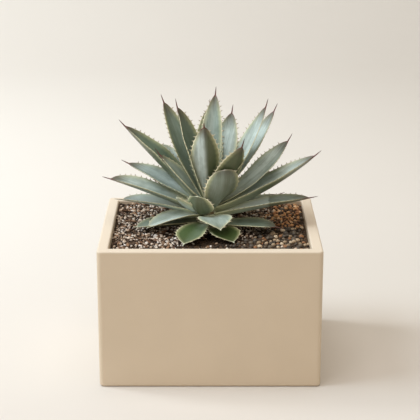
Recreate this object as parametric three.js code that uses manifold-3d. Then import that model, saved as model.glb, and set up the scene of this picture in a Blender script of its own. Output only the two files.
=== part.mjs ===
// A silver star smooth agave in a cream, straight-sided rectangular pot filled with gritty potting mix.
// Millimetres, +Z up. The origin is the centre of the pot's underside, the front of the pot faces -Y.
import * as THREE from "three";
import { mergeVertices } from "three/addons/utils/BufferGeometryUtils.js";
import Module from "manifold-3d";

const wasm = await Module();
wasm.setup();

// Driving dimensions
const POT_WIDTH = 240;
const POT_DEPTH = 200;
const POT_HEIGHT = 155;
const POT_WALL = 12;
const POT_FLOOR = 14;
const POT_SIDE_ROUND = 5;
const POT_FOOT_ROUND = 3;
const POT_RIM_ROUND = 2;
const POT_INNER_ROUND = 1.5;
const SOIL_BELOW_RIM = 8.5;
const SOIL_CELL = 7.5;
const SOIL_SEED = 7;
const FINE_RELIEF = 1.4;
const COARSE_RELIEF = 2.2;
const COARSE_GRIT_FROM_X = 20;
const REAR_HEAP = 4;
const REAR_HEAP_FROM_Y = 10;
const PLANT_X = -3;
const PLANT_Y = 2;
const STEM_RADIUS = 13;
const STEM_CROWN = 34;
const STEM_BURIED = 45;
const TOOTH_HEIGHT = 2.6;
const TOOTH_BASE = 3;
const TOOTH_RISE = 0.8;
const TOOTH_EVERY = 15;
const LEAST_TEETH = 3;
const GAP = 0.3;
const CLASP_GAP = 0.35;

const SOIL_LEVEL = POT_HEIGHT - SOIL_BELOW_RIM;
const DEGREE = Math.PI / 180;

// Leaf shape that all leaves share
const NECK_SHARE = 0.32;
const NECK_POWER = 1.5;
const EDGE_THICKNESS = 1.1;
const TIP_EDGE_SHARE = 0.75;
const KEEL_TAPER = 0.8;
const CHANNEL_POWER = 1.35;
const SPINE_RADIUS = 0.9;
const NECK_LENGTH = 12;
const FIRST_TOOTH = 26;
const LAST_TOOTH_SHARE = 0.93;
const CENTRELINE_STEPS = 120;
const USUAL_SHAPE = {
  swing: 0,
  bend: 1,
  thick: 5.5,
  channel: 0.4,
  widest: 0.55,
  taper: 0.75,
  roll: 0,
  twist: 0,
  spine: 11,
};

// How the leaves of each ring stand. azimuth is the way a leaf points, 0 to the right and 90 to the back,
// and swing turns it along its length. rise is where its middle line leaves the stem's axis, above the
// mix. lift and tip are its slope at the root and at the end, and bend over 1 keeps the change for the
// end. length runs from the axis to the tip of the spine. thick is the depth at the keel, channel how far
// the edges stand up as a share of the half width, widest where the leaf is broadest and taper how blunt
// its end is. roll and twist turn the blade about its middle line.
function leaf(azimuth, rise, lift, tip, length, width, shape = {}) {
  return { azimuth, rise, lift, tip, length, width, ...USUAL_SHAPE, ...shape };
}

const ROSETTE = {
  outer: [
    leaf(-112, 9, 11, -21, 72, 32, { channel: 0.2, widest: 0.74, taper: 0.9, spine: 4 }),
    leaf(-62, 6, 10, -16, 64, 34, { channel: 0.2, widest: 0.7, taper: 0.9, spine: 3 }),
    leaf(-161, 19, 6, -22, 73, 32, { channel: 0.3, widest: 0.62, taper: 0.5, spine: 4 }),
    leaf(-173, 10, 0, -5, 83, 33, { channel: 0.3, widest: 0.68, taper: 0.5, spine: 4 }),
    leaf(-14, 8, 3, -15, 89, 33, { bend: 4, channel: 0.2, widest: 0.66, taper: 0.55 }),
    leaf(-74, 16, 14, -38, 56, 38, { bend: 2.5, channel: 0.15, widest: 0.6, taper: 1, spine: 2 }),
    leaf(30, 14, 8, 8, 105, 25),
    leaf(173, 18, 15, 0, 108, 30, { channel: 0.35, widest: 0.68, taper: 0.6 }),
    leaf(62, 11, 6, -4, 112, 28, { channel: 0.35 }),
    leaf(92, 12, 11, -2, 94, 28, { channel: 0.35 }),
    leaf(122, 12, 6, -2, 112, 28, { channel: 0.35 }),
    leaf(149, 14, 8, 2, 92, 27, { channel: 0.35 }),
    leaf(76, 17, 18, 6, 106, 28),
    leaf(107, 16, 16, 4, 102, 27),
  ],
  middle: [
    leaf(-4, 18, 11, 11, 126, 30, { widest: 0.7 }),
    leaf(177, 20, 23, 15, 125, 30, { channel: 0.5, widest: 0.68, taper: 0.6, roll: 5 }),
    leaf(157, 27, 26, 18, 116, 32, { roll: 6 }),
    leaf(2, 24, 16, 40, 145, 32, { thick: 8, channel: 0.5, roll: -5 }),
    leaf(158, 27, 38, 42, 141, 34, { channel: 0.6, roll: -4 }),
    leaf(15, 26, 18, 60, 130, 33, { widest: 0.68, roll: -10 }),
    leaf(45, 22, 18, 8, 118, 28),
    leaf(132, 20, 16, 6, 98, 28),
    leaf(90, 20, 24, 14, 120, 28),
    leaf(66, 25, 34, 26, 120, 28),
    leaf(131, 25, 37, 33, 104, 30, { taper: 0.5, spine: 4 }),
  ],
  inner: [
    leaf(131, 31, 50, 58, 138, 31),
    leaf(151, 33, 64, 77, 121, 35, { channel: 0.55, roll: -1 }),
    leaf(79, 36, 72, 60, 129, 25, { channel: 0.35 }),
    leaf(88, 27, 53, 50, 134, 32, { channel: 0.35 }),
    leaf(59, 30, 48, 61, 123, 33, { swing: 14, channel: 0.35 }),
    leaf(22, 33, 40, 74, 136, 34, { channel: 0.35 }),
    leaf(35, 29, 34, 60, 144, 30),
    leaf(188, 30, 44, 54, 90, 30, { channel: 0.35, taper: 0.9, roll: 14 }),
  ],
  heart: [
    leaf(-103, 38, 78, 82, 91, 32, { thick: 7, channel: 0.45, widest: 0.54, roll: -16, spine: 6 }),
    leaf(-14, 36, 44, 76, 85, 31, { channel: 0.35, roll: 45 }),
    leaf(-42, 26, 25, 100, 60, 38, { taper: 0.32, twist: 45, spine: 1 }),
    leaf(-122, 22, -11, 107, 38, 34, { taper: 0.3, spine: 1 }),
    leaf(-160, 23, 9, 46, 42, 14, { thick: 7, channel: 0.6, taper: 0.3, spine: 1 }),
    leaf(60, 39, 84, 88, 66, 13, { thick: 9, channel: 0.8, taper: 0.9, spine: 7 }),
  ],
};

const LEAVES = Object.entries(ROSETTE).flatMap(([ring, leaves]) =>
  leaves.map((values, i) => ({ name: `leaf_${ring}_${String(i + 1).padStart(2, "0")}`, ...values })),
);

const POT_CREAM = 0xe0cdb0;
const MIX_BROWN = 0x4a3a30;
const STEM_GREEN = 0x9aa584;
const LEAF_SILVER_GREEN = 0x7f9a8c;

function material(colour, roughness) {
  return new THREE.MeshStandardMaterial({ color: colour, roughness, metalness: 0 });
}

// Mesh and solid helpers

function meshFromTriangles(points, triangles) {
  const geometry = new THREE.BufferGeometry();
  const places = points.flatMap((p) => [p.x, p.y, p.z]);
  geometry.setAttribute("position", new THREE.Float32BufferAttribute(places, 3));
  geometry.setIndex(triangles.flat());
  return geometry;
}

function solidOf(geometry) {
  const bare = geometry.clone();
  bare.deleteAttribute("normal");
  bare.deleteAttribute("uv");
  const merged = mergeVertices(bare, 1e-4);
  return new wasm.Manifold(
    new wasm.Mesh({
      numProp: 3,
      vertProperties: merged.attributes.position.array,
      triVerts: new Uint32Array(merged.index.array),
    }),
  );
}

function geometryOf(solid) {
  const mesh = solid.getMesh();
  const geometry = new THREE.BufferGeometry();
  geometry.setAttribute("position", new THREE.Float32BufferAttribute(mesh.vertProperties, 3));
  geometry.setIndex(new THREE.BufferAttribute(mesh.triVerts, 1));
  return geometry;
}

// Closed skin over a stack of rings that have the same number of points, with a fan over each end.
function skinOfRings(rings) {
  const count = rings[0].length;
  const points = rings.flat();
  const triangles = [];
  for (let ring = 0; ring + 1 < rings.length; ring++) {
    for (let i = 0; i < count; i++) {
      const a = ring * count + i;
      const b = ring * count + ((i + 1) % count);
      triangles.push([a, b, b + count], [a, b + count, a + count]);
    }
  }
  const middle = (ring) => ring.reduce((sum, p) => sum.add(p), new THREE.Vector3()).divideScalar(count);
  const first = points.push(middle(rings[0])) - 1;
  const last = points.push(middle(rings[rings.length - 1])) - 1;
  const top = (rings.length - 1) * count;
  for (let i = 0; i < count; i++) {
    const next = (i + 1) % count;
    triangles.push([first, next, i], [last, top + i, top + next]);
  }
  return meshFromTriangles(points, triangles);
}

// Pot

function roundedRectangle(width, depth, round, z) {
  const cornerSteps = 4;
  const points = [];
  const corners = [
    [1, 1, 0],
    [-1, 1, 90],
    [-1, -1, 180],
    [1, -1, 270],
  ];
  for (const [sideX, sideY, start] of corners) {
    for (let i = 0; i <= cornerSteps; i++) {
      const angle = (start + (90 * i) / cornerSteps) * DEGREE;
      const x = sideX * (width / 2 - round) + round * Math.cos(angle);
      const y = sideY * (depth / 2 - round) + round * Math.sin(angle);
      points.push(new THREE.Vector3(x, y, z));
    }
  }
  return points;
}

function potGeometry() {
  const rings = [];
  const addRing = (inset, z) => {
    const round = Math.max(POT_SIDE_ROUND - inset, POT_INNER_ROUND);
    rings.push(roundedRectangle(POT_WIDTH - 2 * inset, POT_DEPTH - 2 * inset, round, z));
  };
  for (const turn of [0, 45, 90]) {
    const foot = POT_FOOT_ROUND;
    addRing(foot - foot * Math.sin(turn * DEGREE), foot - foot * Math.cos(turn * DEGREE));
  }
  for (const turn of [0, 45, 90]) {
    const rim = POT_RIM_ROUND;
    addRing(rim - rim * Math.cos(turn * DEGREE), POT_HEIGHT - rim + rim * Math.sin(turn * DEGREE));
  }
  for (const turn of [90, 45, 0]) {
    const rim = POT_RIM_ROUND;
    addRing(POT_WALL - rim + rim * Math.cos(turn * DEGREE), POT_HEIGHT - rim + rim * Math.sin(turn * DEGREE));
  }
  addRing(POT_WALL, POT_FLOOR);
  return skinOfRings(rings);
}

// Potting mix

function seededRandom(seed) {
  let state = seed;
  return () => {
    state = (state * 1664525 + 1013904223) % 4294967296;
    return state / 4294967296;
  };
}

function soilGeometry(stemHole) {
  const cell = SOIL_CELL;
  const width = POT_WIDTH - 2 * POT_WALL + cell;
  const depth = POT_DEPTH - 2 * POT_WALL + cell;
  const columns = Math.round(width / cell);
  const rows = Math.round(depth / cell);
  const random = seededRandom(SOIL_SEED);
  const bottom = POT_FLOOR + GAP;
  const points = [];
  for (let row = 0; row <= rows; row++) {
    for (let column = 0; column <= columns; column++) {
      const x = (column / columns - 0.5) * width;
      const y = (row / rows - 0.5) * depth;
      const relief = x > COARSE_GRIT_FROM_X ? COARSE_RELIEF : FINE_RELIEF;
      const heaped = REAR_HEAP * THREE.MathUtils.smoothstep(y, REAR_HEAP_FROM_Y, POT_DEPTH / 2 - POT_WALL);
      const level = SOIL_LEVEL + heaped;
      const shiftX = 0.3 * cell * (random() - 0.5);
      const shiftY = 0.3 * cell * (random() - 0.5);
      points.push(new THREE.Vector3(x + shiftX, y + shiftY, level + relief * (random() - 0.7)));
    }
  }
  const topCount = points.length;
  const triangles = [];
  const at = (column, row) => row * (columns + 1) + column;
  for (let row = 0; row < rows; row++) {
    for (let column = 0; column < columns; column++) {
      const [a, b] = [at(column, row), at(column + 1, row)];
      const [c, d] = [at(column + 1, row + 1), at(column, row + 1)];
      const evenCell = (row + column) % 2 === 0;
      triangles.push(...(evenCell ? [[a, b, c], [a, c, d]] : [[a, b, d], [b, c, d]]));
    }
  }
  const edge = [];
  for (let column = 0; column < columns; column++) edge.push(at(column, 0));
  for (let row = 0; row < rows; row++) edge.push(at(columns, row));
  for (let column = columns; column > 0; column--) edge.push(at(column, rows));
  for (let row = rows; row > 0; row--) edge.push(at(0, row));
  edge.forEach((index) => points.push(points[index].clone().setZ(bottom)));
  const centre = points.push(new THREE.Vector3(0, 0, bottom)) - 1;
  edge.forEach((index, i) => {
    const next = (i + 1) % edge.length;
    const [low, lowNext] = [topCount + i, topCount + next];
    triangles.push([index, low, lowNext], [index, lowNext, edge[next]], [centre, lowNext, low]);
  });
  const inset = POT_WALL + GAP;
  const lowRing = roundedRectangle(POT_WIDTH - 2 * inset, POT_DEPTH - 2 * inset, POT_INNER_ROUND, bottom - 1);
  const highRing = lowRing.map((p) => p.clone().setZ(POT_HEIGHT));
  const inside = solidOf(skinOfRings([lowRing, highRing]));
  return geometryOf(solidOf(meshFromTriangles(points, triangles)).intersect(inside).subtract(stemHole));
}

// Stem

function stemGeometry(grow) {
  const profile = [
    [0, -STEM_BURIED],
    [STEM_RADIUS - 2, -STEM_BURIED + 4],
    [STEM_RADIUS, -6],
    [STEM_RADIUS, 8],
    [STEM_RADIUS - 3, 20],
    [STEM_RADIUS - 7, STEM_CROWN - 3],
    [0, STEM_CROWN],
  ];
  const outline = profile.map(([radius, z], i) => {
    const end = i === 0 ? -grow : i === profile.length - 1 ? grow : 0;
    return new THREE.Vector2(radius === 0 ? 0 : radius + grow, z + end);
  });
  const geometry = new THREE.LatheGeometry(outline, 20);
  geometry.rotateX(Math.PI / 2);
  geometry.translate(PLANT_X, PLANT_Y, SOIL_LEVEL);
  return geometry;
}

// Leaves

// The middle line of a leaf as evenly spaced points, each with its ways forward, across and up.
function centreline(leaf) {
  const { azimuth, swing, lift, tip, bend, roll, twist, rise, length } = leaf;
  const step = length / CENTRELINE_STEPS;
  const place = new THREE.Vector3(PLANT_X, PLANT_Y, SOIL_LEVEL + rise);
  const frames = [];
  for (let i = 0; i <= CENTRELINE_STEPS; i++) {
    const share = i / CENTRELINE_STEPS;
    const turn = (azimuth + swing * share) * DEGREE;
    const slope = (lift + (tip - lift) * Math.pow(share, bend)) * DEGREE;
    const tilt = (roll + twist * share) * DEGREE;
    const forward = new THREE.Vector3(
      Math.cos(slope) * Math.cos(turn),
      Math.cos(slope) * Math.sin(turn),
      Math.sin(slope),
    );
    const level = new THREE.Vector3(Math.sin(turn), -Math.cos(turn), 0);
    const up = level.clone().cross(forward);
    const across = level.clone().multiplyScalar(Math.cos(tilt)).addScaledVector(up, Math.sin(tilt));
    const upper = up.clone().multiplyScalar(Math.cos(tilt)).addScaledVector(level, -Math.sin(tilt));
    frames.push({ place: place.clone(), forward, across, upper });
    place.addScaledVector(forward, step);
  }
  return frames;
}

function frameAt(frames, share) {
  const at = Math.min(Math.max(share, 0), 1) * CENTRELINE_STEPS;
  const low = Math.min(Math.floor(at), CENTRELINE_STEPS - 1);
  const mix = at - low;
  const [a, b] = [frames[low], frames[low + 1]];
  return {
    place: a.place.clone().lerp(b.place, mix),
    forward: a.forward.clone().lerp(b.forward, mix).normalize(),
    across: a.across.clone().lerp(b.across, mix).normalize(),
    upper: a.upper.clone().lerp(b.upper, mix).normalize(),
  };
}

function halfWidth(leaf, share) {
  const { width, widest, taper } = leaf;
  const full = width / 2;
  if (share < widest) {
    const grown = Math.sin((Math.PI / 2) * (share / widest));
    return full * (NECK_SHARE + (1 - NECK_SHARE) * Math.pow(grown, NECK_POWER));
  }
  const past = (share - widest) / (1 - widest);
  return SPINE_RADIUS + (full - SPINE_RADIUS) * Math.pow(Math.cos((Math.PI / 2) * past), taper);
}

// One ring round the blade: five points over the channelled upper face, then both lower edges with the
// keel between them.
function leafRing(leaf, frames, share, end, grow) {
  const frame = frameAt(frames, share * end);
  const half = halfWidth(leaf, share);
  const body = 1 - share;
  const edge = EDGE_THICKNESS * (TIP_EDGE_SHARE + (1 - TIP_EDGE_SHARE) * body);
  const keel = EDGE_THICKNESS + (leaf.thick - EDGE_THICKNESS) * Math.pow(body, KEEL_TAPER);
  const height = (v) => leaf.channel * half * Math.pow(Math.abs(v), CHANNEL_POWER);
  const at = (v, drop) =>
    frame.place
      .clone()
      .addScaledVector(frame.across, v * (half + grow))
      .addScaledVector(frame.upper, height(v) - drop);
  const upper = [-1, -0.5, 0, 0.5, 1].map((v) => at(v, -grow));
  return [...upper, at(1, edge + grow), at(0, keel + grow), at(-1, edge + grow)];
}

function leafGeometry(leaf, grow = 0) {
  const frames = centreline(leaf);
  const blade = leaf.length - leaf.spine;
  const end = blade / leaf.length;
  const firstTooth = FIRST_TOOTH / blade;
  const toothed = LAST_TOOTH_SHARE - firstTooth;
  const toothCount = Math.max(LEAST_TEETH, Math.round((blade * toothed) / TOOTH_EVERY));
  const shares = [0, NECK_LENGTH / blade];
  const toothRings = new Set();
  for (let i = 0; i < toothCount; i++) {
    const middle = firstTooth + (toothed * i) / (toothCount - 1);
    const reach = TOOTH_BASE / 2 / blade;
    toothRings.add(shares.length);
    shares.push(middle - reach, middle + reach);
  }
  shares.push(1);
  const rings = shares.map((share) => leafRing(leaf, frames, share, end, grow));
  const count = rings[0].length;
  const points = rings.flat();
  const triangles = [];
  const [rightEdge, keel, leftEdge] = [4, 6, 7];
  for (let ring = 0; ring + 1 < rings.length; ring++) {
    for (let i = 0; i < count; i++) {
      const a = ring * count + i;
      const b = ring * count + ((i + 1) % count);
      const [c, d] = [b + count, a + count];
      if (toothRings.has(ring) && (i === rightEdge || i === leftEdge)) {
        const frame = frameAt(frames, ((shares[ring] + shares[ring + 1]) / 2) * end);
        const apex = new THREE.Vector3();
        [a, b, c, d].forEach((index) => apex.addScaledVector(points[index], 0.25));
        const side = i === rightEdge ? 1 : -1;
        const slope = leaf.channel * CHANNEL_POWER * TOOTH_RISE;
        const outward = frame.across.clone().multiplyScalar(side).addScaledVector(frame.upper, slope);
        apex.addScaledVector(outward.normalize(), TOOTH_HEIGHT + grow);
        const tooth = points.push(apex) - 1;
        triangles.push([a, b, tooth], [b, c, tooth], [c, d, tooth], [d, a, tooth]);
      } else {
        triangles.push([a, b, c], [a, c, d]);
      }
    }
  }
  const point = frameAt(frames, 1);
  const spine = points.push(point.place.clone().addScaledVector(point.forward, grow)) - 1;
  const top = (rings.length - 1) * count;
  for (let i = 0; i < count; i++) {
    const next = (i + 1) % count;
    if (i !== keel && next !== keel) triangles.push([keel, next, i]);
    triangles.push([top + i, top + next, spine]);
  }
  return meshFromTriangles(points, triangles);
}

// The younger leaves sit higher on the stem. Each older blade is cut back, with a small gap, where the
// stem or a younger blade presses on it, as the leaves of a rosette clasp each other. It keeps its
// largest body.
function claspedBlades(stemRoom) {
  const youngestFirst = [...LEAVES].sort((a, b) => b.rise - a.rise);
  const blades = new Map();
  const rooms = [stemRoom];
  for (const leaf of youngestFirst) {
    let blade = solidOf(leafGeometry(leaf));
    for (const room of rooms) {
      if (blade.intersect(room).volume() > 0) blade = blade.subtract(room);
    }
    const bodies = blade.decompose().sort((a, b) => b.volume() - a.volume());
    blades.set(leaf.name, bodies[0]);
    rooms.push(solidOf(leafGeometry(leaf, CLASP_GAP)));
  }
  return blades;
}

// Assembly

const agave = new THREE.Group();
agave.name = "potted_silver_star_smooth_agave";

function addMesh(name, geometry, surface) {
  const mesh = new THREE.Mesh(geometry, surface);
  mesh.name = name;
  agave.add(mesh);
}

const stemRoom = solidOf(stemGeometry(GAP));
addMesh("pot", potGeometry(), material(POT_CREAM, 0.75));
addMesh("soil", soilGeometry(stemRoom), material(MIX_BROWN, 0.95));
addMesh("stem", stemGeometry(0), material(STEM_GREEN, 0.7));
const blades = claspedBlades(stemRoom);
for (const { name } of LEAVES) {
  addMesh(name, geometryOf(blades.get(name)), material(LEAF_SILVER_GREEN, 0.55));
}

export default agave;
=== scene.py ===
import math

import bpy
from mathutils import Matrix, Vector


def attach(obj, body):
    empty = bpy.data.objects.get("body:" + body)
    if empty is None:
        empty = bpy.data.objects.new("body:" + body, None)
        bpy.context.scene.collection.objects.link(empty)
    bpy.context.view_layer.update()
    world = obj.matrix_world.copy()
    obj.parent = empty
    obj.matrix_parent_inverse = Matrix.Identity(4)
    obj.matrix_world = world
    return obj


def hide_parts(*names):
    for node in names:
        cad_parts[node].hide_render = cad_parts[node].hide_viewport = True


bl_info = {
    "name": "Potted silver star agave",
    "version": (1, 0, 0),
    "blender": (4, 5, 0),
    "location": "3D View > Sidebar > Agave",
    "description": "Dresses the solids of a potted silver star smooth agave and sets its studio",
    "category": "Object",
}

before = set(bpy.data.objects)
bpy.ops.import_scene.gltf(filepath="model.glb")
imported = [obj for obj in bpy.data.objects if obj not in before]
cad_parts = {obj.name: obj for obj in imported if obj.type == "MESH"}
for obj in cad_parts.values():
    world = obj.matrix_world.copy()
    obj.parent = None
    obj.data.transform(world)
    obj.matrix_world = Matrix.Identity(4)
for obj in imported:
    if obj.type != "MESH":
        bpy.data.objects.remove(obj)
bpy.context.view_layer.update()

MM = 0.001

# Sizes and rules of form that the solids share with this scene
POT_WIDTH = 240 * MM
POT_DEPTH = 200 * MM
POT_HEIGHT = 155 * MM
POT_WALL = 12 * MM
POT_FLOOR = 14 * MM
POT_SIDE_ROUND = 5 * MM
POT_FOOT_ROUND = 3 * MM
POT_RIM_ROUND = 2 * MM
POT_INNER_ROUND = 1.5 * MM
SOIL_LEVEL = 146.5 * MM
PLANT_X = -3 * MM
PLANT_Y = 2 * MM
NECK_SHARE = 0.32
NECK_POWER = 1.5
EDGE_THICKNESS = 1.1 * MM
TIP_EDGE_SHARE = 0.75
KEEL_TAPER = 0.8
CHANNEL_POWER = 1.35
SPINE_RADIUS = 0.9 * MM
FIRST_TOOTH = 26 * MM
LAST_TOOTH_SHARE = 0.93
LEAST_TEETH = 3

# Finer form of a leaf
LOWER_FACE_POWER = 1.06
TOOTH_RISE = 0.8
SPINE_TAPER = 0.6
MIDDLE_LINE_POINTS = 121
MERGE_GAP = 0.01 * MM


def from_screen(*levels):
    """A colour as a screen shows it, 0 to 255, turned into the renderer's linear values."""
    shares = [level / 255 for level in levels]
    return tuple(
        share / 12.92 if share <= 0.04045 else ((share + 0.055) / 1.055) ** 2.4 for share in shares
    )


# How each leaf stands and looks. The first six numbers are the way it points in degrees, the height of
# its root above the mix, its slope at the root and at the tip, its length and its width in millimetres.
# wax is how much pale bloom it keeps, raised on some leaves as painted light where they lie in shade,
# rubbed the share of its length past which the bloom is thinned as painted shade on the outer part,
# brown how brown its teeth are, margin how bright its pale edge line is, lean how much painted shade
# darkens one half against the other by thinning its bloom (over 0 the half at -across), horn how dark
# its tip and spine are, and foot how pale its foot is, partly the leaf's own pale base and partly
# painted light on bases that lie in shade.
USUAL_LEAF = {
    "swing": 0,
    "bend": 1,
    "thick": 5.5,
    "channel": 0.4,
    "widest": 0.55,
    "taper": 0.75,
    "roll": 0,
    "twist": 0,
    "spine": 11,
    "rubbed": 1.3,
    "lean": 0,
    "horn": 1,
}
LOOK_OF_RING = {
    "outer": {"wax": 0.5, "brown": 0.6, "margin": 0.5, "foot": 0.6},
    "middle": {"wax": 0.6, "brown": 0.8, "margin": 0.45, "foot": 0.75},
    "inner": {"wax": 0.75, "brown": 0.7, "margin": 0.65, "foot": 0.1},
    "heart": {"wax": 0.72, "brown": 0.1, "margin": 1.0, "foot": 0.3},
}
LEAF_ANGLES = ("azimuth", "swing", "lift", "tip", "roll", "twist")
LEAF_LENGTHS = ("length", "width", "thick", "spine")
LEAF_SHARES = ("bend", "widest", "taper", "channel")
LEAF_LOOKS = ("wax", "rubbed", "brown", "margin", "lean", "horn", "foot")


def leaf(azimuth, rise, lift, tip, length, width, **shape):
    """One leaf of the rosette, as its place, its size and what sets it apart."""
    place = {"azimuth": azimuth, "rise": rise, "lift": lift, "tip": tip}
    return {**place, "length": length, "width": width, **shape}


ROSETTE = {
    "outer": [
        leaf(
            -112, 9, 11, -21, 72, 32,
            channel=0.2, widest=0.74, taper=0.9, spine=4, wax=0.12, lean=-0.9, horn=0.1,
        ),
        leaf(-62, 6, 10, -16, 64, 34, channel=0.2, widest=0.7, taper=0.9, spine=3, wax=0, horn=0.1),
        leaf(-161, 19, 6, -22, 73, 32, channel=0.3, widest=0.62, taper=0.5, spine=4, wax=0.95, horn=0.1),
        leaf(-173, 10, 0, -5, 83, 33, channel=0.3, widest=0.68, taper=0.5, spine=4, wax=0.35, horn=0.1),
        leaf(-14, 8, 3, -15, 89, 33, bend=4, channel=0.2, widest=0.66, taper=0.55, wax=0.3),
        leaf(
            -74, 16, 14, -38, 56, 38,
            bend=2.5, channel=0.15, widest=0.6, taper=1.0, spine=2, wax=0.6, horn=0,
        ),
        leaf(30, 14, 8, 8, 105, 25),
        # Painted light: bloom and pale foot raised on a leaf that lies in the shade of the leaves above it.
        leaf(173, 18, 15, 0, 108, 30, channel=0.35, widest=0.68, taper=0.6, wax=1.9, horn=0.5, foot=1),
        leaf(62, 11, 6, -4, 112, 28, channel=0.35),
        leaf(92, 12, 11, -2, 94, 28, channel=0.35),
        leaf(122, 12, 6, -2, 112, 28, channel=0.35),
        leaf(149, 14, 8, 2, 92, 27, channel=0.35),
        leaf(76, 17, 18, 6, 106, 28),
        leaf(107, 16, 16, 4, 102, 27),
    ],
    "middle": [
        # Painted light: bloom and pale foot raised on a leaf in the plant's own shade; painted shade past
        # 0.6 of its length.
        leaf(-4, 18, 11, 11, 126, 30, widest=0.7, wax=1.7, rubbed=0.6, foot=1),
        leaf(177, 20, 23, 15, 125, 30, channel=0.5, widest=0.68, taper=0.6, roll=5, wax=0.7),
        leaf(157, 27, 26, 18, 116, 32, roll=6, wax=0.85),
        leaf(2, 24, 16, 40, 145, 32, thick=8, channel=0.5, roll=-5, wax=0.9, lean=-0.7, foot=1),
        leaf(158, 27, 38, 42, 141, 34, channel=0.6, roll=-4, wax=0.12, foot=0.9),
        leaf(15, 26, 18, 60, 130, 33, widest=0.68, roll=-10, wax=1.2, lean=-0.5),
        leaf(45, 22, 18, 8, 118, 28),
        leaf(132, 20, 16, 6, 98, 28),
        leaf(90, 20, 24, 14, 120, 28),
        leaf(66, 25, 34, 26, 120, 28),
        leaf(131, 25, 37, 33, 104, 30, taper=0.5, spine=4, wax=0.9, horn=0.2, foot=0.2),
    ],
    "inner": [
        leaf(131, 31, 50, 58, 138, 31, wax=0.25, margin=0.95),
        leaf(151, 33, 64, 77, 121, 35, channel=0.55, roll=-1, wax=0.2, margin=1.0),
        leaf(79, 36, 72, 60, 129, 25, channel=0.35, wax=0.7, lean=-0.5),
        leaf(88, 27, 53, 50, 134, 32, channel=0.35, wax=0.1),
        leaf(59, 30, 48, 61, 123, 33, swing=14, channel=0.35, wax=0.9),
        leaf(22, 33, 40, 74, 136, 34, channel=0.35, wax=0.95),
        leaf(35, 29, 34, 60, 144, 30, wax=1.0),
        leaf(188, 30, 44, 54, 90, 30, channel=0.35, taper=0.9, roll=14, wax=0.6),
    ],
    "heart": [
        # Painted light and shade: bloom raised so that one half looks lit, with the other half in painted
        # shade.
        leaf(
            -103, 38, 78, 82, 91, 32,
            thick=7, channel=0.45, widest=0.54, roll=-16, spine=6, wax=2.4, lean=0.95, foot=0,
        ),
        leaf(-14, 36, 44, 76, 85, 31, channel=0.35, roll=45, wax=0.1, foot=0),
        leaf(-42, 26, 25, 100, 60, 38, taper=0.32, twist=45, spine=1, wax=0.65, horn=0.6, foot=0.1),
        leaf(-122, 22, -11, 107, 38, 34, taper=0.3, spine=1, wax=0.25, margin=1.3, horn=0),
        # Painted light: bloom raised on a small pale leaf that lies in shade.
        leaf(
            -160, 23, 9, 46, 42, 14,
            thick=7, channel=0.6, taper=0.3, spine=1, wax=2.6, margin=1.3, horn=0,
        ),
        leaf(60, 39, 84, 88, 66, 13, thick=9, channel=0.8, taper=0.9, spine=7),
    ],
}


# Values a user would change


def length_in_mm(name, description, millimetres):
    """A length that a user may change."""
    return bpy.props.FloatProperty(
        name=name, description=description, default=millimetres * MM, unit="LENGTH"
    )


def screen_colour(name, description, *screen_levels):
    """A colour that a user may change, given as a screen shows it."""
    return bpy.props.FloatVectorProperty(
        name=name, description=description, default=from_screen(*screen_levels), subtype="COLOR"
    )


class AgaveSizes(bpy.types.PropertyGroup):
    """Sizes of the fine forms that the solids don't hold."""

    tooth_height: length_in_mm("Tooth height", "How far a tooth stands out from a leaf's edge", 2.6)
    tooth_base: length_in_mm("Tooth base", "Length of a tooth's root along the edge", 3.0)
    tooth_pitch: length_in_mm("Tooth pitch", "Usual distance between two teeth", 5.6)
    blade_rings: bpy.props.IntProperty(
        name="Blade rings", description="Rows of faces along a leaf", default=110
    )
    blade_columns: bpy.props.IntProperty(
        name="Blade columns", description="Faces round a leaf, a multiple of four", default=32
    )
    margin_width: length_in_mm("Margin width", "Width of the pale line along a leaf's edge", 1.2)
    perlite: length_in_mm("Perlite grain", "Usual diameter of a grain of perlite", 3.1)
    crumb: length_in_mm("Peat crumb", "Usual diameter of a crumb of the dark mix", 2.6)
    pebble: length_in_mm("Pebble", "Usual diameter of a pebble in the grit", 4.2)
    bark: length_in_mm("Bark", "Usual width of a piece of bark", 3.2)
    grit: length_in_mm("Orange grit", "Usual diameter of a grain of orange grit", 3.7)
    front_grain: length_in_mm("Front grain", "Usual diameter of a grain along the front rim", 3.4)


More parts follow.
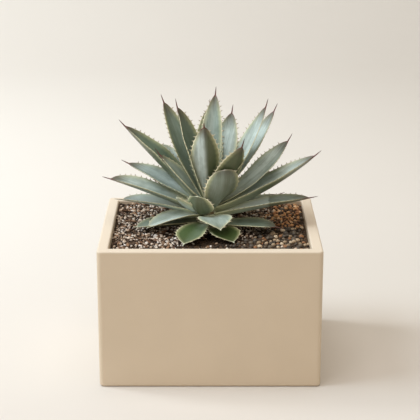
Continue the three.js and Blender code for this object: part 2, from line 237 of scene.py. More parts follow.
class AgaveColours(bpy.types.PropertyGroup):
    """Colours of the plant, the pot and what the mix is made of."""

    pot: screen_colour("Pot", "Matt cream body", 222, 205, 181)
    # Painted highlight: the top of the pot's wall, paler and cooler where the light falls on it.
    pot_rim_highlight: screen_colour("Pot rim", "Paler top of the pot's wall", 222, 210, 193)
    leaf_wax: screen_colour("Leaf bloom", "Pale wax on a leaf", 202, 217, 214)
    leaf_green: screen_colour("Leaf green", "Leaf under the wax", 62, 85, 56)
    leaf_below: screen_colour("Leaf underside", "Tint of a leaf's lower face", 96, 96, 56)
    leaf_old: screen_colour("Old leaf", "Tint of the leaves close to the mix", 64, 84, 36)
    leaf_line: screen_colour("Leaf line", "Fine dark lines along a leaf", 64, 78, 60)
    leaf_base: screen_colour("Leaf base", "Pale foot of a leaf", 206, 212, 188)
    leaf_border: screen_colour("Leaf border", "Yellowish band inside the edge", 204, 206, 158)
    leaf_tip: screen_colour("Leaf tip", "Dull end of a leaf below its spine", 78, 72, 58)
    margin: screen_colour("Margin", "Horny line at the edge", 232, 228, 196)
    spine: screen_colour("Spine", "Spine at a leaf's end", 98, 52, 46)
    tooth_pale: screen_colour("Pale tooth", "Tooth of a young leaf", 236, 228, 196)
    tooth_brown: screen_colour("Brown tooth", "Tooth of an old leaf", 88, 56, 42)
    stem_scar: screen_colour("Stem scar", "Dry scars on the stem", 120, 104, 74)
    peat: screen_colour("Peat", "Dark mix", 84, 64, 46)
    peat_fibre: screen_colour("Peat fibre", "Fibres in the dark mix", 120, 92, 70)
    perlite: screen_colour("Perlite", "White grains", 232, 221, 208)
    grit: screen_colour("Grit", "Orange grit", 206, 152, 102)
    floor: screen_colour("Floor", "Studio floor", 219, 215, 210)


# Node trees written as formulas


def socket_named(sockets, name):
    """The socket in use with this name, or at this place when name is a number."""
    if isinstance(name, int):
        return sockets[name]
    return next(socket for socket in sockets if socket.name == name and socket.enabled)


class Field:
    """A number or a vector inside a node tree, joined with the ordinary signs."""

    def __init__(self, make, socket):
        self.make = make
        self.socket = socket

    def is_vector(self):
        return self.socket.type in {"VECTOR", "RGBA"}

    def _join(self, operation, first, second):
        if self.is_vector():
            return self.make.vector_math(operation, first, second)
        return self.make.math(operation, first, second)

    def __add__(self, other):
        return self._join("ADD", self, other)

    __radd__ = __add__

    def __sub__(self, other):
        return self._join("SUBTRACT", self, other)

    def __rsub__(self, other):
        return self._join("SUBTRACT", other, self)

    def __mul__(self, other):
        if self.is_vector():
            return self.make.field("ShaderNodeVectorMath", {0: self, "Scale": other}, operation="SCALE")
        return self.make.math("MULTIPLY", self, other)

    __rmul__ = __mul__

    def __truediv__(self, other):
        return self.make.math("DIVIDE", self, other)

    def __rtruediv__(self, other):
        return self.make.math("DIVIDE", other, self)

    def __pow__(self, other):
        return self.make.math("POWER", self, other)


class Maker:
    """Makes the nodes of one tree and feeds their inputs."""

    def __init__(self, tree):
        self.tree = tree
        self.group_input = None

    def node(self, kind, inputs=None, **settings):
        made = self.tree.nodes.new(kind)
        for name, value in settings.items():
            setattr(made, name, value)
        for name, value in (inputs or {}).items():
            self.feed(socket_named(made.inputs, name), value)
        return made

    def feed(self, socket, value):
        if isinstance(value, Field):
            self.tree.links.new(value.socket, socket)
        else:
            socket.default_value = value

    def field(self, kind, inputs=None, output=0, **settings):
        made = self.node(kind, inputs, **settings)
        return Field(self, socket_named(made.outputs, output))

    def given(self, name):
        """An input of the tree itself."""
        if self.group_input is None:
            self.group_input = self.tree.nodes.new("NodeGroupInput")
        return Field(self, self.group_input.outputs[name])

    def gives(self, **results):
        """Feeds the tree's own outputs, and ends it."""
        output = self.tree.nodes.new("NodeGroupOutput")
        for name, value in results.items():
            self.feed(output.inputs[name.replace("_", " ").capitalize()], value)

    def math(self, operation, *values):
        return self.field("ShaderNodeMath", dict(enumerate(values)), operation=operation)

    def vector_math(self, operation, *values):
        return self.field("ShaderNodeVectorMath", dict(enumerate(values)), operation=operation)

    def vector(self, x, y, z):
        return self.field("ShaderNodeCombineXYZ", {"X": x, "Y": y, "Z": z})

    def parts(self, vector):
        split = self.node("ShaderNodeSeparateXYZ", {0: vector})
        return [Field(self, socket) for socket in split.outputs]

    def smooth_step(self, value, low, high):
        """0 below low and 1 above high, with a soft change between them."""
        inputs = {"Value": value, "From Min": low, "From Max": high}
        return self.field("ShaderNodeMapRange", inputs, interpolation_type="SMOOTHSTEP")

    def noise(self, place, scale, detail=2.0, roughness=0.5):
        inputs = {"Vector": place, "Scale": scale, "Detail": detail, "Roughness": roughness}
        return self.field("ShaderNodeTexNoise", inputs)

    def blend(self, mask, first, second, way="MIX"):
        """first where the mask is 0 and second where it is 1, as colours."""
        inputs = {"Factor": mask, "A": colour_value(first), "B": colour_value(second)}
        return self.field("ShaderNodeMix", inputs, "Result", data_type="RGBA", blend_type=way)

    def attribute(self, name, output="Fac"):
        return self.field("ShaderNodeAttribute", None, output, attribute_name=name)

    def group(self, tree, inputs, output=0):
        return self.field("ShaderNodeGroup", inputs, output, node_tree=tree)


def colour_value(value):
    """A plain colour gets its alpha, a field stays as it is."""
    return value if isinstance(value, Field) else (*value[:3], 1.0)


def math_function(operation):
    """A function of fields that makes a node for this operation."""
    def apply(*values):
        return values[0].make.math(operation, *values)

    return apply


sine = math_function("SINE")
cosine = math_function("COSINE")
absolute = math_function("ABSOLUTE")
square_root = math_function("SQRT")
smaller = math_function("MINIMUM")
larger = math_function("MAXIMUM")
# above(x, limit) is 1 where x is over the limit and 0 elsewhere.
above = math_function("GREATER_THAN")


def new_tree(name, kind, inputs, outputs):
    """An empty tree with its named inputs and outputs. A socket is (name, type) or (name, type, default)."""
    tree = bpy.data.node_groups.new(name, kind)
    for way, sockets in (("INPUT", inputs), ("OUTPUT", outputs)):
        for label, value_type, *default in sockets:
            socket_type = f"NodeSocket{value_type}"
            socket = tree.interface.new_socket(name=label, in_out=way, socket_type=socket_type)
            if default:
                socket.default_value = default[0]
    return tree


def grown_piece(name, tree, values):
    """A new object with the plain mesh that the geometry tree makes from these values."""
    piece = bpy.data.objects.new(name, bpy.data.meshes.new(name))
    bpy.context.collection.objects.link(piece)
    modifier = piece.modifiers.new(name, "NODES")
    modifier.node_group = tree
    for item in tree.interface.items_tree:
        if item.in_out == "INPUT" and item.name in values:
            modifier[item.identifier] = values[item.name]
    depsgraph = bpy.context.evaluated_depsgraph_get()
    depsgraph.update()
    mesh = bpy.data.meshes.new_from_object(
        piece.evaluated_get(depsgraph), preserve_all_data_layers=True, depsgraph=depsgraph
    )
    piece.modifiers.remove(modifier)
    # The new mesh starts with the empty material slot of the object it was grown on.
    if mesh.materials[0] is None:
        mesh.materials.pop(index=0)
    piece.data = mesh
    mesh.name = name
    return piece


# Leaf geometry


LEAF_INPUTS = [
    ("Root", "Vector"),
    *((name.capitalize(), "Float") for name in LEAF_ANGLES + LEAF_LENGTHS + LEAF_SHARES + LEAF_LOOKS),
    ("Rings", "Int"),
    ("Columns", "Int"),
    ("Teeth a side", "Int"),
    ("Tooth pitch", "Float"),
    ("Tooth height", "Float"),
    ("Tooth base", "Float"),
    ("Seed", "Int"),
    ("Leaf finish", "Material"),
    ("Tooth finish", "Material"),
]


def leaf_ways(make, share):
    """The ways forward, across and up of a leaf's middle line at a share of its length."""
    given = make.given
    turn = given("Azimuth") + given("Swing") * share
    slope = given("Lift") + (given("Tip") - given("Lift")) * share ** given("Bend")
    tilt = given("Roll") + given("Twist") * share
    forward = make.vector(cosine(slope) * cosine(turn), cosine(slope) * sine(turn), sine(slope))
    level = make.vector(sine(turn), cosine(turn) * -1, 0)
    up = make.vector_math("CROSS_PRODUCT", level, forward)
    across = level * cosine(tilt) + up * sine(tilt)
    upper = up * cosine(tilt) - level * sine(tilt)
    return forward, across, upper


def leaf_half_width(make, share):
    """Half the width of the blade: a neck, the widest place and a round run to the spine."""
    full = make.given("Width") * 0.5
    widest = make.given("Widest")
    grown = sine(smaller(share / widest, 1) * (math.pi / 2))
    rising = full * (NECK_SHARE + (1 - NECK_SHARE) * grown ** NECK_POWER)
    past = smaller(larger((share - widest) / (1 - widest), 0), 0.9999)
    falling = SPINE_RADIUS + (full - SPINE_RADIUS) * cosine(past * (math.pi / 2)) ** make.given("Taper")
    return smaller(rising, falling)


def leaf_edge(share):
    """Thickness of the blade's edge."""
    return EDGE_THICKNESS * (TIP_EDGE_SHARE + (1 - TIP_EDGE_SHARE) * (1 - share))


def toothed_zone(make, distance):
    """1 along the part of the edge that has teeth, fading out at its ends."""
    blade = make.given("Length") - make.given("Spine")
    fade = 8 * MM
    starts = make.smooth_step(distance, FIRST_TOOTH - fade, FIRST_TOOTH + fade)
    ends = make.smooth_step(distance, blade * LAST_TOOTH_SHARE - fade, blade * LAST_TOOTH_SHARE)
    return starts * (1 - ends)


def scalloped(make, distance):
    """The edge swells a little under each tooth."""
    swell = 0.28 * MM
    phase = (distance - FIRST_TOOTH) / make.given("Tooth pitch") * (2 * math.pi)
    return cosine(phase) * toothed_zone(make, distance) * swell


def uneven_channel(make, distance):
    """How far the channel's depth strays from its rule at a distance along the leaf."""
    stray = 0.16
    wave_length = 22 * MM
    place = make.vector(distance / wave_length, make.given("Seed") * 3.7, 0)
    return 1 + (make.noise(place, 1.0, 0.0) - 0.5) * (2 * stray)


def leaf_middle_line(make):
    """The middle line as a curve, from the stem's axis to the tip of the spine."""
    given = make.given
    steps = MIDDLE_LINE_POINTS - 1
    share = make.field("GeometryNodeInputIndex") / steps
    forward, _, upper = leaf_ways(make, share)
    step = forward * (given("Length") / steps)
    so_far = make.node("GeometryNodeAccumulateField", {"Value": step}, data_type="FLOAT_VECTOR")
    reached = Field(make, socket_named(so_far.outputs, "Trailing"))
    stray = 1.1 * MM
    waves = make.vector(share * 2.2, given("Seed") * 5.3, 0)
    sway = (make.noise(waves, 1.0, 0.0) - 0.5) * share * stray
    line = make.field("GeometryNodeMeshLine", {"Count": MIDDLE_LINE_POINTS})
    bent = moved_to(make, line, given("Root") + reached + upper * sway)
    return make.field("GeometryNodeMeshToCurve", {"Mesh": bent})


def place_on_line(make, middle_line, share):
    """The point of the middle line at a share of its length."""
    inputs = {"Curves": middle_line, "Factor": share}
    return make.field("GeometryNodeSampleCurve", inputs, "Position", mode="FACTOR")


def moved_to(make, geometry, position):
    """The geometry with its points at new positions."""
    return make.field("GeometryNodeSetPosition", {"Geometry": geometry, "Position": position})


def moved_by(make, geometry, offset):
    """The geometry with its points moved from where they are."""
    return make.field("GeometryNodeSetPosition", {"Geometry": geometry, "Offset": offset})


def in_finish(make, geometry, finish):
    """The geometry with this material on all its faces."""
    return make.field("GeometryNodeSetMaterial", {"Geometry": geometry, "Material": finish})


def named(make, geometry, name, value, kind="FLOAT"):
    """The geometry with one more attribute on its points."""
    inputs = {"Geometry": geometry, "Name": name, "Value": value}
    return make.field("GeometryNodeStoreNamedAttribute", inputs, data_type=kind, domain="POINT")


def blade_heights(make, share, distance, shrink, half, from_middle):
    """How high the upper and the lower face lie over the middle line, with the edges rounded."""
    most_rounded = 0.9
    least_half = 0.001 * MM
    edge = leaf_edge(share) * shrink
    keel = (EDGE_THICKNESS + (make.given("Thick") - EDGE_THICKNESS) * (1 - share) ** KEEL_TAPER) * shrink
    channel = make.given("Channel") * half * uneven_channel(make, distance)
    rounding_from = 1 - smaller(edge * 0.5 / larger(half, least_half), most_rounded)
    in_rounding = larger((from_middle - rounding_from) / (1 - rounding_from), 0)
    rounding = (1 - square_root(larger(1 - in_rounding * in_rounding, 0))) * (edge * 0.5)
    upper_height = channel * from_middle ** CHANNEL_POWER - rounding
    lower_height = (channel - edge + keel) * from_middle ** LOWER_FACE_POWER - keel + rounding
    return upper_height, lower_height


def leaf_blade(make, middle_line):
    """The closed blade with its spine: a sheet of faces wrapped round the middle line."""
    given = make.given
    vertices = {"Vertices X": given("Columns") + 1, "Vertices Y": given("Rings") + 1}
    sheet = make.field("GeometryNodeMeshGrid", {"Size X": 1, "Size Y": 1, **vertices})
    x, y, _ = make.parts(make.field("GeometryNodeInputPosition"))
    around = x + 0.5
    row = y + 0.5
    first_row = 1 / given("Rings")
    opened = smaller(row / first_row, 1)
    along = larger(row - first_row, 0) / (1 - first_row)
    blade = given("Length") - given("Spine")
    distance = along * given("Length")
    share = smaller(distance / blade, 1)
    spine_share = larger(distance - blade, 0) / given("Spine")
    shrink = (1 - smaller(spine_share, 1)) ** SPINE_TAPER * opened

    across_share = sine((1 - absolute(around * 2 - 1) * 2) * (math.pi / 2))
    from_middle = absolute(across_share)
    is_lower = above(around, 0.5)
    half = (leaf_half_width(make, share) + scalloped(make, distance)) * shrink
    upper_height, lower_height = blade_heights(make, share, distance, shrink, half, from_middle)
    height = upper_height + (lower_height - upper_height) * is_lower

    # The marks are stored on the flat sheet, because setting the position changes what they are made from.
    marks = {
        "leaf_place": make.vector(across_share * half, distance, given("Seed")),
        "leaf_share": share + spine_share,
        "leaf_lower": is_lower,
        "leaf_edge_gap": half * (1 - from_middle),
    }
    for name, value in marks.items():
        kind = "FLOAT_VECTOR" if value.is_vector() else "FLOAT"
        sheet = named(make, sheet, name, value, kind)
    _, across, upper = leaf_ways(make, along)
    place = place_on_line(make, middle_line, along)
    position = place + across * (across_share * half) + upper * height
    bent = moved_to(make, sheet, position)
    return make.field("GeometryNodeMergeByDistance", {"Geometry": bent, "Distance": MERGE_GAP})


def tooth_shape(make):
    """One tooth standing on the origin along +Z, hooked towards +Y, with its foot under the origin."""
    hook = 0.55
    hollow = 0.35
    inputs = {"Vertices": 6, "Side Segments": 4, "Radius Top": 0.06, "Radius Bottom": 1.0, "Depth": 1.0}
    cone = make.field("GeometryNodeMeshCone", inputs)
    x, y, z = make.parts(make.field("GeometryNodeInputPosition"))
    slim = 1 - sine(z * math.pi) * hollow
    shaped = make.vector(x * slim, y * slim + z * z * hook, z)
    return moved_to(make, named(make, cone, "tooth_height", z), shaped)


def leaf_teeth(make, middle_line):
    """The teeth along both edges of the blade."""
    given = make.given
    sunk = 0.8 * MM
    most_stray = 0.16
    least_size = 0.72
    most_size = 1.15
    foot_thickness_share = 0.46
    count = given("Teeth a side")
    points = make.field("GeometryNodeMeshLine", {"Count": count * 2})
    index = make.field("GeometryNodeInputIndex")
    side = make.math("FLOORED_MODULO", index, 2) * 2 - 1
    number = make.math("FLOOR", index / 2)
    stray = random_value(make, -most_stray, most_stray, given("Seed"))
    size = random_value(make, least_size, most_size, given("Seed") + 40)
    distance = FIRST_TOOTH + given("Tooth pitch") * (number + stray)
    blade = given("Length") - given("Spine")
    share = smaller(distance / blade, 1)
    along = distance / given("Length")
    forward, across, upper = leaf_ways(make, along)
    half = leaf_half_width(make, share) + scalloped(make, distance)
    height = given("Channel") * half * uneven_channel(make, distance) - leaf_edge(share) * 0.5
    place = place_on_line(make, middle_line, along)
    outward = across * side + upper * (given("Channel") * CHANNEL_POWER * TOOTH_RISE)
    foot = place + across * side * half + upper * height - outward * sunk
    axes = {"Primary Axis": outward, "Secondary Axis": forward}
    half_thickness = leaf_edge(share) * foot_thickness_share
    half_base = given("Tooth base") * 0.5 * size
    inputs = {
        "Points": moved_to(make, points, foot),
        "Instance": tooth_shape(make),
        "Rotation": make.field("FunctionNodeAxesToRotation", axes, primary_axis="Z", secondary_axis="Y"),
        "Scale": make.vector(half_thickness, half_base, given("Tooth height") * size + sunk),
    }
    teeth = make.field("GeometryNodeInstanceOnPoints", inputs)
    return make.field("GeometryNodeRealizeInstances", {"Geometry": teeth})


def random_value(make, low, high, seed, kind="FLOAT"):
    """A random number for each element, or a random vector."""
    inputs = {"Min": low, "Max": high, "Seed": seed}
    return make.field("FunctionNodeRandomValue", inputs, "Value", data_type=kind)


def joined(make, *geometries):
    """Several geometries as one."""
    node = make.node("GeometryNodeJoinGeometry")
    for geometry in geometries:
        make.tree.links.new(geometry.socket, node.inputs[0])
    return Field(make, node.outputs[0])


def leaf_tree():
    """The geometry tree that grows one leaf with its teeth and its spine."""
    tree = new_tree("Agave leaf", "GeometryNodeTree", LEAF_INPUTS, [("Geometry", "Geometry")])
    make = Maker(tree)
    given = make.given
    middle_line = leaf_middle_line(make)
    blade = in_finish(make, leaf_blade(make, middle_line), given("Leaf finish"))
    teeth = in_finish(make, leaf_teeth(make, middle_line), given("Tooth finish"))
    whole = joined(make, blade, teeth)
    for name in LEAF_LOOKS:
        whole = named(make, whole, name, given(name.capitalize()))
    smooth = make.field("GeometryNodeSetShadeSmooth", {"Geometry": whole})
    make.gives(geometry=make.field("GeometryNodeRealizeInstances", {"Geometry": smooth}))
    return tree


def leaf_values(values, number, finishes):
    """The inputs of the leaf tree for one leaf of the rosette."""
    sizes = bpy.context.scene.agave_sizes
    blade = (values["length"] - values["spine"]) * MM
    toothed = blade * LAST_TOOTH_SHARE - FIRST_TOOTH
    teeth = max(LEAST_TEETH, round(toothed / sizes.tooth_pitch) + 1)
    inputs = {
        "Root": (PLANT_X, PLANT_Y, SOIL_LEVEL + values["rise"] * MM),
        "Rings": sizes.blade_rings,
        "Columns": sizes.blade_columns,
        "Teeth a side": teeth,
        "Tooth pitch": toothed / (teeth - 1),
        "Tooth height": sizes.tooth_height,
        "Tooth base": sizes.tooth_base,
        "Seed": number,
        "Leaf finish": finishes["leaf"],
        "Tooth finish": finishes["tooth"],
    }
    for name in LEAF_ANGLES:
        inputs[name.capitalize()] = math.radians(values[name])
    for name in LEAF_LENGTHS:
        inputs[name.capitalize()] = values[name] * MM
    for name in LEAF_SHARES + LEAF_LOOKS:
        inputs[name.capitalize()] = float(values[name])
    return inputs


# Finishes


def new_finish(name, roughness):
    """A material, the maker of its nodes, and its shader."""
    finish = bpy.data.materials.new(name)
    finish.use_nodes = True
    shader = finish.node_tree.nodes["Principled BSDF"]
    shader.inputs["Roughness"].default_value = roughness
    return finish, Maker(finish.node_tree), shader


def patches_tree():
    """Soft patches over a surface, as a mask from 0 to 1. Several finishes use it."""
    tree = bpy.data.node_groups.get("Soft patches")
    if tree:
        return tree
    inputs = [("Place", "Vector"), ("Scale", "Float"), ("Low", "Float"), ("High", "Float")]
    tree = new_tree("Soft patches", "ShaderNodeTree", inputs, [("Mask", "Float")])
    make = Maker(tree)
    given = make.given
    noise = make.noise(given("Place"), given("Scale"), 4.0, 0.55)
    make.gives(mask=make.smooth_step(noise, given("Low"), given("High")))
    return tree


def patches(make, place, scale, low=0.4, high=0.6):
    """Places the soft patches in a finish."""
    inputs = {"Place": place, "Scale": scale, "Low": low, "High": high}
    return make.group(patches_tree(), inputs, "Mask")


def object_place(make):
    """The point of the surface in the frame's own coordinates, in metres."""
    return make.field("ShaderNodeTexCoord", None, "Object")


def raised(make, shader, height, distance, strength=1.0):
    """Gives the shader a bump of this height field."""
    inputs = {"Height": height, "Distance": distance, "Strength": strength}
    make.feed(shader.inputs["Normal"], make.field("ShaderNodeBump", inputs))


def shaded(colour, share):
    """The colour made darker, or lighter with a share over 1."""
    return tuple(part * share for part in colour)


def pot_finish(colours):
    """Matt cream body with faint clouds, fine pores, a few darker specks and a painted highlight on the rim.
    """
    finish, make, shader = new_finish("Cream pot", 0.62)
    place = object_place(make)
    height = make.parts(place)[2]
    clouds = patches(make, place, 14.0, 0.3, 0.75)
    specks = patches(make, place, 900.0, 0.7, 0.78)
    # Painted highlight along the top of the wall.
    rim = make.smooth_step(height, POT_HEIGHT - 2.5 * MM, POT_HEIGHT - 0.5 * MM)
    colour = make.blend(clouds * 0.5, colours.pot, shaded(colours.pot, 0.93))
    colour = make.blend(specks * 0.18, colour, shaded(colours.pot, 0.6))
    colour = make.blend(rim * 0.8, colour, colours.pot_rim_highlight)
    make.feed(shader.inputs["Base Color"], colour)
    make.feed(shader.inputs["Roughness"], 0.56 + clouds * 0.12)
    pores = make.noise(place, 1400.0, 3.0)
    swells = make.noise(place, 60.0)
    raised(make, shader, pores * 0.3 + swells, 0.12 * MM, 0.5)
    return finish


def peat_finish(colours):
    """Dark moist mix between the grains."""
    finish, make, shader = new_finish("Peat", 0.9)
    place = object_place(make)
    lumps = patches(make, place, 260.0, 0.35, 0.65)
    fibres = patches(make, place, 900.0, 0.62, 0.7)
    colour = make.blend(lumps, shaded(colours.peat, 0.5), shaded(colours.peat, 1.25))
    colour = make.blend(fibres * 0.5, colour, colours.peat_fibre)
    make.feed(shader.inputs["Base Color"], colour)
    raised(make, shader, make.noise(place, 420.0, 4.0), 1.6 * MM)
    return finish


def stem_finish(colours):
    """Pale trunk with the dry scars of shed leaves."""
    finish, make, shader = new_finish("Agave stem", 0.7)
    x, y, z = make.parts(object_place(make))
    rings = patches(make, make.vector(x, y, z * 6), 90.0)
    make.feed(shader.inputs["Base Color"], make.blend(rings, colours.leaf_base, colours.stem_scar))
    raised(make, shader, rings, 0.6 * MM)
    return finish


def on_leaf(make, across_share, along_share, leaf_share=0.1):
    """A point on the leaf's own sheet, stretched so that a noise over it runs along the leaf."""
    across, along, number = make.parts(make.attribute("leaf_place", "Vector"))
    return make.vector(across * across_share, along * along_share, number * leaf_share)


def painted_shade_half(make):
    """1 on the half of the leaf in painted shade, where its bloom is thinned."""
    fade_from = -3 * MM
    fade_to = 4 * MM
    across = make.parts(make.attribute("leaf_place", "Vector"))[0]
    lean = make.attribute("lean")
    return make.smooth_step(across * lean * -1, fade_from, fade_to) * absolute(lean)


def leaf_bloom(make, streaks, shaded_half):
    """How thick the pale wax lies, from 0 to 1: streaked, blotched, and thinned as painted shade on the
    outer part of the leaf and on its shaded half.
    """
    bands = make.noise(on_leaf(make, 2.4, 0.16, 3.1), 95.0)
    blotches = patches(make, on_leaf(make, 1, 0.6), 110.0, 0.35, 0.7)
    ragged = (make.noise(on_leaf(make, 2, 1, 1), 160.0) - 0.5) * 0.05
    # Painted shade: past a share of its length the bloom thins, so the leaf's outer part is darker and
    # greener.
    shaded_end_from = make.attribute("rubbed")
    rubbed = make.smooth_step(make.attribute("leaf_share") + ragged, shaded_end_from, shaded_end_from + 0.02)
    bloom = make.attribute("wax") * (1.85 - streaks * 0.7 - bands * 1.2) * (1 - blotches * 0.3)
    bloom = bloom * (1 - make.attribute("leaf_lower") * 0.55)
    # Painted shade also thins the bloom on one half of the leaf.
    return smaller(bloom * (1 - rubbed * 0.7) * (1 - shaded_half), 1)


def leaf_green(make, colours, streaks):
    """The leaf under the wax: streaked, duller below and yellower close to the mix."""
    green = make.blend(streaks, shaded(colours.leaf_green, 0.8), shaded(colours.leaf_green, 1.2))
    green = make.blend(make.attribute("leaf_lower") * 0.5, green, colours.leaf_below)
    height = make.parts(object_place(make))[2]
    near_mix = 1 - make.smooth_step(height, SOIL_LEVEL + 8 * MM, SOIL_LEVEL + 28 * MM)
    return make.blend(near_mix * 0.8, green, colours.leaf_old)


def with_margin(make, colours, colour, margin_width):
    """The colour with a yellowish band inside the edge and the pale horny line on it."""
    gap = make.attribute("leaf_edge_gap")
    bright = make.attribute("margin")
    band = 1 - make.smooth_step(gap, margin_width * 0.8, margin_width * 4.5)
    line = 1 - make.smooth_step(gap, margin_width * 0.4, margin_width * 1.1)
    colour = make.blend(band * (0.2 + bright * 0.35), colour, colours.leaf_border)
    return make.blend(line * bright, colour, colours.margin)


def spine_colour(make, colours):
    """Dark and darker still at the end, or pale on a leaf whose tip has no dark horn."""
    spine_end = make.smooth_step(make.attribute("leaf_share"), 1.3, 1.9)
    dark = make.blend(spine_end, colours.spine, shaded(colours.spine, 0.45))
    return make.blend(make.attribute("horn"), colours.leaf_base, dark)


def leaf_finish(colours, margin_width):
    """Waxy leaf: a pale bloom over green, with streaks, painted shade on one half and on the outer part, a
    pale foot that is partly painted light, a pale margin and a horny tip and spine.
    """
    finish, make, shader = new_finish("Waxy leaf", 0.5)
    share = make.attribute("leaf_share")
    streaks = make.noise(on_leaf(make, 9, 0.35), 90.0, 4.0, 0.6)
    fine_lines = make.noise(on_leaf(make, 30, 0.5), 90.0)
    # Painted shade on one half of the leaf: its bloom is thinned and its foot kept darker.
    shaded_half = painted_shade_half(make)
    bloom = leaf_bloom(make, streaks, shaded_half)

    colour = make.blend(bloom, leaf_green(make, colours, streaks), colours.leaf_wax)
    colour = make.blend(make.smooth_step(fine_lines, 0.52, 0.75) * 0.3, colour, colours.leaf_line)
    # A pale foot: partly the leaf's own pale base and partly painted light on bases that lie in shade. The
    # half in painted shade keeps its foot darker.
    foot = 1 - make.smooth_step(share + (streaks - 0.5) * 0.2, 0.12, 0.5)
    foot = foot * make.attribute("foot") * (1 - shaded_half * 0.8)
    colour = make.blend(foot, colour, colours.leaf_base)
    colour = with_margin(make, colours, colour, margin_width)

    tip = make.smooth_step(share + (streaks - 0.5) * 0.1, 0.8, 0.99)
    colour = make.blend(tip * (0.25 + make.attribute("horn") * 0.6), colour, colours.leaf_tip)
    edge = 1 - make.smooth_step(make.attribute("leaf_edge_gap"), 0, 1.6 * MM)
    horn = make.smooth_step(share + edge * 0.05, 0.985, 1.02)
    colour = make.blend(horn, colour, spine_colour(make, colours))
    make.feed(shader.inputs["Base Color"], colour)
    make.feed(shader.inputs["Roughness"], (0.42 + bloom * 0.2) * (1 - horn * 0.25))
    raised(make, shader, streaks + fine_lines * 0.4, 0.12 * MM, 0.6)
    return finish


def tooth_finish(colours):
    """Horny tooth, cream on a young leaf and brown towards its point on an old one."""
    finish, make, shader = new_finish("Leaf tooth", 0.42)
    height = make.attribute("tooth_height")
    brown = make.attribute("brown")
    mask = brown * make.smooth_step(height + brown * 0.4, 0.35, 0.85)
    grain = patches(make, object_place(make), 1500.0)
    colour = make.blend(mask, colours.tooth_pale, colours.tooth_brown)
    colour = make.blend(grain * 0.2, colour, shaded(colours.tooth_brown, 0.7))
    make.feed(shader.inputs["Base Color"], colour)
    raised(make, shader, grain, 0.08 * MM, 0.5)
    return finish


def grain_finish(name, stops, roughness, relief):
    """Stony grains: each takes one of the colours, with patches and pits of its own."""
    finish, make, shader = new_finish(name, roughness)
    ramp = make.node("ShaderNodeValToRGB", {"Fac": make.attribute("grain")})
    ramp.color_ramp.interpolation = "CONSTANT"
    elements = ramp.color_ramp.elements
    elements.remove(elements[1])
    elements[0].color = (*stops[0], 1.0)
    for i, colour in enumerate(stops[1:], 1):
        elements.new(i / len(stops)).color = (*colour, 1.0)
    colour = Field(make, ramp.outputs["Color"])
    place = object_place(make)
    clouds = patches(make, place, 700.0, 0.35, 0.7)
    colour = make.blend(clouds * 0.45, colour, make.blend(1.0, colour, (0.55, 0.5, 0.46), "MULTIPLY"))
    make.feed(shader.inputs["Base Color"], colour)
    raised(make, shader, make.noise(place, 1300.0, 3.0), relief)
    return finish


# Grains of the mix


SCATTER_INPUTS = [
    ("Bed", "Object"),
    ("Density", "Float"),
    ("Least distance", "Float"),
    ("Size", "Float"),
    ("Least share", "Float", 0.6),
    ("Most share", "Float", 1.4),
    ("Flatness", "Float", 0.7),
    ("Length share", "Float", 1.0),
    ("Roughening", "Float", 0.25),
    ("Lift", "Float", 0.2),
    ("Fineness", "Int", 2),
    ("Seed", "Int"),
    ("Finish", "Material"),
]


def strewn_points(make, where):
    """Points on top of the bed, as thick as where says, each with a random grain number."""
    given = make.given
    bed = make.field("GeometryNodeObjectInfo", {"Object": given("Bed")}, "Geometry")
    x, y, _ = make.parts(make.field("GeometryNodeInputPosition"))
    inputs = {
        "Mesh": bed,
        "Selection": above(make.parts(make.field("GeometryNodeInputNormal"))[2], 0.5),
        "Distance Min": given("Least distance"),
        "Density Max": given("Density"),
        "Density Factor": where(make, x, y) * inside_bed(x, y),
        "Seed": given("Seed"),
    }
    kind = "GeometryNodeDistributePointsOnFaces"
    points = make.field(kind, inputs, "Points", distribute_method="POISSON")
    return named(make, points, "grain", random_value(make, 0.0, 1.0, given("Seed") + 5))


def grains_on(make, points):
    """A loose stretched ball on each point, lifted a little and turned at random."""
    given = make.given
    size = given("Size") * random_value(make, given("Least share"), given("Most share"), given("Seed") + 9)
    lifted = moved_by(make, points, make.vector(0, 0, size * given("Lift")))
    most_turn = Vector((0.5, 0.5, math.pi))
    turn = random_value(make, -most_turn, most_turn, given("Seed") + 2, "FLOAT_VECTOR")
    ball = make.field("GeometryNodeMeshIcoSphere", {"Radius": 0.5, "Subdivisions": given("Fineness")})
    inputs = {
        "Points": lifted,
        "Instance": ball,
        "Rotation": make.field("FunctionNodeEulerToRotation", {"Euler": turn}),
        "Scale": make.vector(size * given("Length share"), size, size * given("Flatness")),
    }
    grains = make.field("GeometryNodeInstanceOnPoints", inputs)
    return make.field("GeometryNodeRealizeInstances", {"Geometry": grains})


def roughened(make, grains):
    """The grains with their points shoved about, so that no two look alike."""
    given = make.given
    place = make.field("GeometryNodeInputPosition")
    inputs = {"Vector": place, "Scale": 1 / given("Size"), "Detail": 1.0}
    shove = make.field("ShaderNodeTexNoise", inputs, "Color") - Vector((0.5, 0.5, 0.5))
    return moved_by(make, grains, shove * given("Size") * given("Roughening") * 2)


def scatter_tree(name, where, smooth):
    """The tree that strews grains over the mix. where(make, x, y) gives how thick they lie, 0 to 1."""
    tree = new_tree(name, "GeometryNodeTree", SCATTER_INPUTS, [("Geometry", "Geometry")])
    make = Maker(tree)
    grains = roughened(make, grains_on(make, strewn_points(make, where)))
    shade = make.field("GeometryNodeSetShadeSmooth", {"Geometry": grains, "Shade Smooth": smooth})
    make.gives(geometry=in_finish(make, shade, make.given("Finish")))
    return tree


